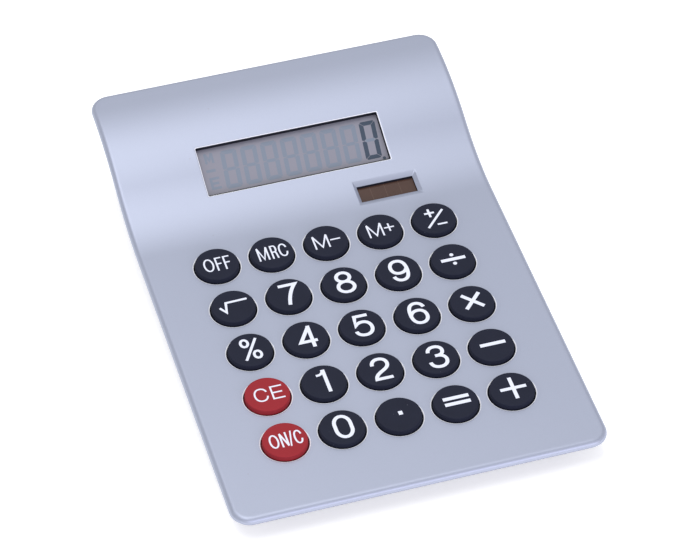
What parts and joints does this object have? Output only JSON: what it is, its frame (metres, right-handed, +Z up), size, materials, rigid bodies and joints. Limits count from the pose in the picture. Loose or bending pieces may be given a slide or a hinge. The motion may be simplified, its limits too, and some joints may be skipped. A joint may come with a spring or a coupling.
{
  "type": "desk calculator",
  "caption": "Thin desk calculator with a curved silver case that rises to a recessed display, round keys, a small solar window and a sliding battery door underneath.",
  "frame": {"origin": "middle of the object's outline on the desk, at the soles of the rubber feet", "axes": "+X to the right and +Y away from the user, from the front edge towards the display, +Z up from the desk"},
  "size_m": [0.1314, 0.2002, 0.0348],
  "materials": {
    "silver_paint": "fine metallic silver paint on moulded plastic, satin",
    "case_underside": "moulded silver-grey plastic with a fine texture",
    "foot_rubber": "matte black rubber",
    "screw_steel": "plated steel",
    "navy_key": "matte blue-black key cap with fine grain",
    "red_key": "matte red key cap with fine grain",
    "silicone": "translucent silicone rubber",
    "carbon": "carbon-filled rubber",
    "board": "green solder mask on glass board",
    "gold_pads": "plated contact pads",
    "resin": "black epoxy resin",
    "can_sleeve": "sleeved capacitor can",
    "resistor_body": "small ceramic chip bodies",
    "diode_glass": "glass diode body",
    "polariser": "grey display film",
    "lcd_glass": "thin display glass",
    "reflector": "satin reflective film",
    "black_plastic": "black moulded plastic",
    "ribbon_film": "amber film with printed tracks",
    "solar_brown": "brown amorphous cell under glass",
    "foam": "closed-cell foam tape",
    "red_wire": "red wire insulation",
    "black_wire": "black wire insulation",
    "cell_wrap": "plain wrap with no marks",
    "spring_steel": "nickel-plated spring steel"
  },
  "bodies": {
    "case": {"top_case": "silver_paint", "bottom_case": "case_underside", "feet": "foot_rubber", "case_screws": "screw_steel", "key_mat": "silicone", "contact_pills": "carbon", "circuit_board": "board", "contact_pads": "gold_pads", "board_screws": "screw_steel", "chip": "resin", "capacitor": "can_sleeve", "resistors": "resistor_body", "diode": "diode_glass", "lcd_polariser": "polariser", "lcd_front_glass": "lcd_glass", "lcd_rear_glass": "lcd_glass", "lcd_reflector": "reflector", "lcd_frame": "black_plastic", "lcd_screws": "screw_steel", "lcd_ribbon": "ribbon_film", "solar_cell": "solar_brown", "solar_pad": "foam", "solar_wire_positive": "red_wire", "solar_wire_negative": "black_wire", "battery_cell": "cell_wrap", "battery_spring": "spring_steel", "battery_contact_negative": "spring_steel", "battery_contact_positive": "spring_steel", "battery_wire_positive": "red_wire", "battery_wire_negative": "black_wire"},
    "battery_door": {"battery_cover": "case_underside"},
    "key_on_cap": {"key_on": "red_key"},
    "key_0_cap": {"key_0": "navy_key"},
    "key_point_cap": {"key_point": "navy_key"},
    "key_equals_cap": {"key_equals": "navy_key"},
    "key_plus_cap": {"key_plus": "navy_key"},
    "key_ce_cap": {"key_ce": "red_key"},
    "key_1_cap": {"key_1": "navy_key"},
    "key_2_cap": {"key_2": "navy_key"},
    "key_3_cap": {"key_3": "navy_key"},
    "key_minus_cap": {"key_minus": "navy_key"},
    "key_percent_cap": {"key_percent": "navy_key"},
    "key_4_cap": {"key_4": "navy_key"},
    "key_5_cap": {"key_5": "navy_key"},
    "key_6_cap": {"key_6": "navy_key"},
    "key_multiply_cap": {"key_multiply": "navy_key"},
    "key_root_cap": {"key_root": "navy_key"},
    "key_7_cap": {"key_7": "navy_key"},
    "key_8_cap": {"key_8": "navy_key"},
    "key_9_cap": {"key_9": "navy_key"},
    "key_divide_cap": {"key_divide": "navy_key"},
    "key_off_cap": {"key_off": "navy_key"},
    "key_mrc_cap": {"key_mrc": "navy_key"},
    "key_memory_minus_cap": {"key_memory_minus": "navy_key"},
    "key_memory_plus_cap": {"key_memory_plus": "navy_key"},
    "key_sign_cap": {"key_sign": "navy_key"}
  },
  "joints": [
    {"name": "key_on_press", "type": "slide", "parent": "case", "child": "key_on_cap", "axis": [0, 0.0523, -0.9986], "range_m": [0, 0.001], "stiffness_N_per_m": 700, "springref_m": -0.0006, "deforming": ["key_mat", "contact_pills"]},
    {"name": "key_0_press", "type": "slide", "parent": "case", "child": "key_0_cap", "axis": [0, 0.0523, -0.9986], "range_m": [0, 0.001], "stiffness_N_per_m": 700, "springref_m": -0.0006, "deforming": ["key_mat", "contact_pills"]},
    {"name": "key_point_press", "type": "slide", "parent": "case", "child": "key_point_cap", "axis": [0, 0.0523, -0.9986], "range_m": [0, 0.001], "stiffness_N_per_m": 700, "springref_m": -0.0006, "deforming": ["key_mat", "contact_pills"]},
    {"name": "key_equals_press", "type": "slide", "parent": "case", "child": "key_equals_cap", "axis": [0, 0.0523, -0.9986], "range_m": [0, 0.001], "stiffness_N_per_m": 700, "springref_m": -0.0006, "deforming": ["key_mat", "contact_pills"]},
    {"name": "key_plus_press", "type": "slide", "parent": "case", "child": "key_plus_cap", "axis": [0, 0.0523, -0.9986], "range_m": [0, 0.001], "stiffness_N_per_m": 700, "springref_m": -0.0006, "deforming": ["key_mat", "contact_pills"]},
    {"name": "key_ce_press", "type": "slide", "parent": "case", "child": "key_ce_cap", "axis": [0, 0.0523, -0.9986], "range_m": [0, 0.001], "stiffness_N_per_m": 700, "springref_m": -0.0006, "deforming": ["key_mat", "contact_pills"]},
    {"name": "key_1_press", "type": "slide", "parent": "case", "child": "key_1_cap", "axis": [0, 0.0523, -0.9986], "range_m": [0, 0.001], "stiffness_N_per_m": 700, "springref_m": -0.0006, "deforming": ["key_mat", "contact_pills"]},
    {"name": "key_2_press", "type": "slide", "parent": "case", "child": "key_2_cap", "axis": [0, 0.0523, -0.9986], "range_m": [0, 0.001], "stiffness_N_per_m": 700, "springref_m": -0.0006, "deforming": ["key_mat", "contact_pills"]},
    {"name": "key_3_press", "type": "slide", "parent": "case", "child": "key_3_cap", "axis": [0, 0.0523, -0.9986], "range_m": [0, 0.001], "stiffness_N_per_m": 700, "springref_m": -0.0006, "deforming": ["key_mat", "contact_pills"]},
    {"name": "key_minus_press", "type": "slide", "parent": "case", "child": "key_minus_cap", "axis": [0, 0.0523, -0.9986], "range_m": [0, 0.001], "stiffness_N_per_m": 700, "springref_m": -0.0006, "deforming": ["key_mat", "contact_pills"]},
    {"name": "key_percent_press", "type": "slide", "parent": "case", "child": "key_percent_cap", "axis": [0, 0.0523, -0.9986], "range_m": [0, 0.001], "stiffness_N_per_m": 700, "springref_m": -0.0006, "deforming": ["key_mat", "contact_pills"]},
    {"name": "key_4_press", "type": "slide", "parent": "case", "child": "key_4_cap", "axis": [0, 0.0523, -0.9986], "range_m": [0, 0.001], "stiffness_N_per_m": 700, "springref_m": -0.0006, "deforming": ["key_mat", "contact_pills"]},
    {"name": "key_5_press", "type": "slide", "parent": "case", "child": "key_5_cap", "axis": [0, 0.0523, -0.9986], "range_m": [0, 0.001], "stiffness_N_per_m": 700, "springref_m": -0.0006, "deforming": ["key_mat", "contact_pills"]},
    {"name": "key_6_press", "type": "slide", "parent": "case", "child": "key_6_cap", "axis": [0, 0.0523, -0.9986], "range_m": [0, 0.001], "stiffness_N_per_m": 700, "springref_m": -0.0006, "deforming": ["key_mat", "contact_pills"]},
    {"name": "key_multiply_press", "type": "slide", "parent": "case", "child": "key_multiply_cap", "axis": [0, 0.0523, -0.9986], "range_m": [0, 0.001], "stiffness_N_per_m": 700, "springref_m": -0.0006, "deforming": ["key_mat", "contact_pills"]},
    {"name": "key_root_press", "type": "slide", "parent": "case", "child": "key_root_cap", "axis": [0, 0.0523, -0.9986], "range_m": [0, 0.001], "stiffness_N_per_m": 700, "springref_m": -0.0006, "deforming": ["key_mat", "contact_pills"]},
    {"name": "key_7_press", "type": "slide", "parent": "case", "child": "key_7_cap", "axis": [0, 0.0523, -0.9986], "range_m": [0, 0.001], "stiffness_N_per_m": 700, "springref_m": -0.0006, "deforming": ["key_mat", "contact_pills"]},
    {"name": "key_8_press", "type": "slide", "parent": "case", "child": "key_8_cap", "axis": [0, 0.0523, -0.9986], "range_m": [0, 0.001], "stiffness_N_per_m": 700, "springref_m": -0.0006, "deforming": ["key_mat", "contact_pills"]},
    {"name": "key_9_press", "type": "slide", "parent": "case", "child": "key_9_cap", "axis": [0, 0.0523, -0.9986], "range_m": [0, 0.001], "stiffness_N_per_m": 700, "springref_m": -0.0006, "deforming": ["key_mat", "contact_pills"]},
    {"name": "key_divide_press", "type": "slide", "parent": "case", "child": "key_divide_cap", "axis": [0, 0.0523, -0.9986], "range_m": [0, 0.001], "stiffness_N_per_m": 700, "springref_m": -0.0006, "deforming": ["key_mat", "contact_pills"]},
    {"name": "key_off_press", "type": "slide", "parent": "case", "child": "key_off_cap", "axis": [0, 0.0523, -0.9986], "range_m": [0, 0.001], "stiffness_N_per_m": 700, "springref_m": -0.0006, "deforming": ["key_mat", "contact_pills"]},
    {"name": "key_mrc_press", "type": "slide", "parent": "case", "child": "key_mrc_cap", "axis": [0, 0.0523, -0.9986], "range_m": [0, 0.001], "stiffness_N_per_m": 700, "springref_m": -0.0006, "deforming": ["key_mat", "contact_pills"]},
    {"name": "key_memory_minus_press", "type": "slide", "parent": "case", "child": "key_memory_minus_cap", "axis": [0, 0.0523, -0.9986], "range_m": [0, 0.001], "stiffness_N_per_m": 700, "springref_m": -0.0006, "deforming": ["key_mat", "contact_pills"]},
    {"name": "key_memory_plus_press", "type": "slide", "parent": "case", "child": "key_memory_plus_cap", "axis": [0, 0.0523, -0.9986], "range_m": [0, 0.001], "stiffness_N_per_m": 700, "springref_m": -0.0006, "deforming": ["key_mat", "contact_pills"]},
    {"name": "key_sign_press", "type": "slide", "parent": "case", "child": "key_sign_cap", "axis": [0, 0.0523, -0.9986], "range_m": [0, 0.001], "stiffness_N_per_m": 700, "springref_m": -0.0006, "deforming": ["key_mat", "contact_pills"]},
    {"name": "battery_door_slide", "type": "slide", "parent": "case", "child": "battery_door", "axis": [0, 1, 0], "range_m": [0, 0.022]}
  ]
}
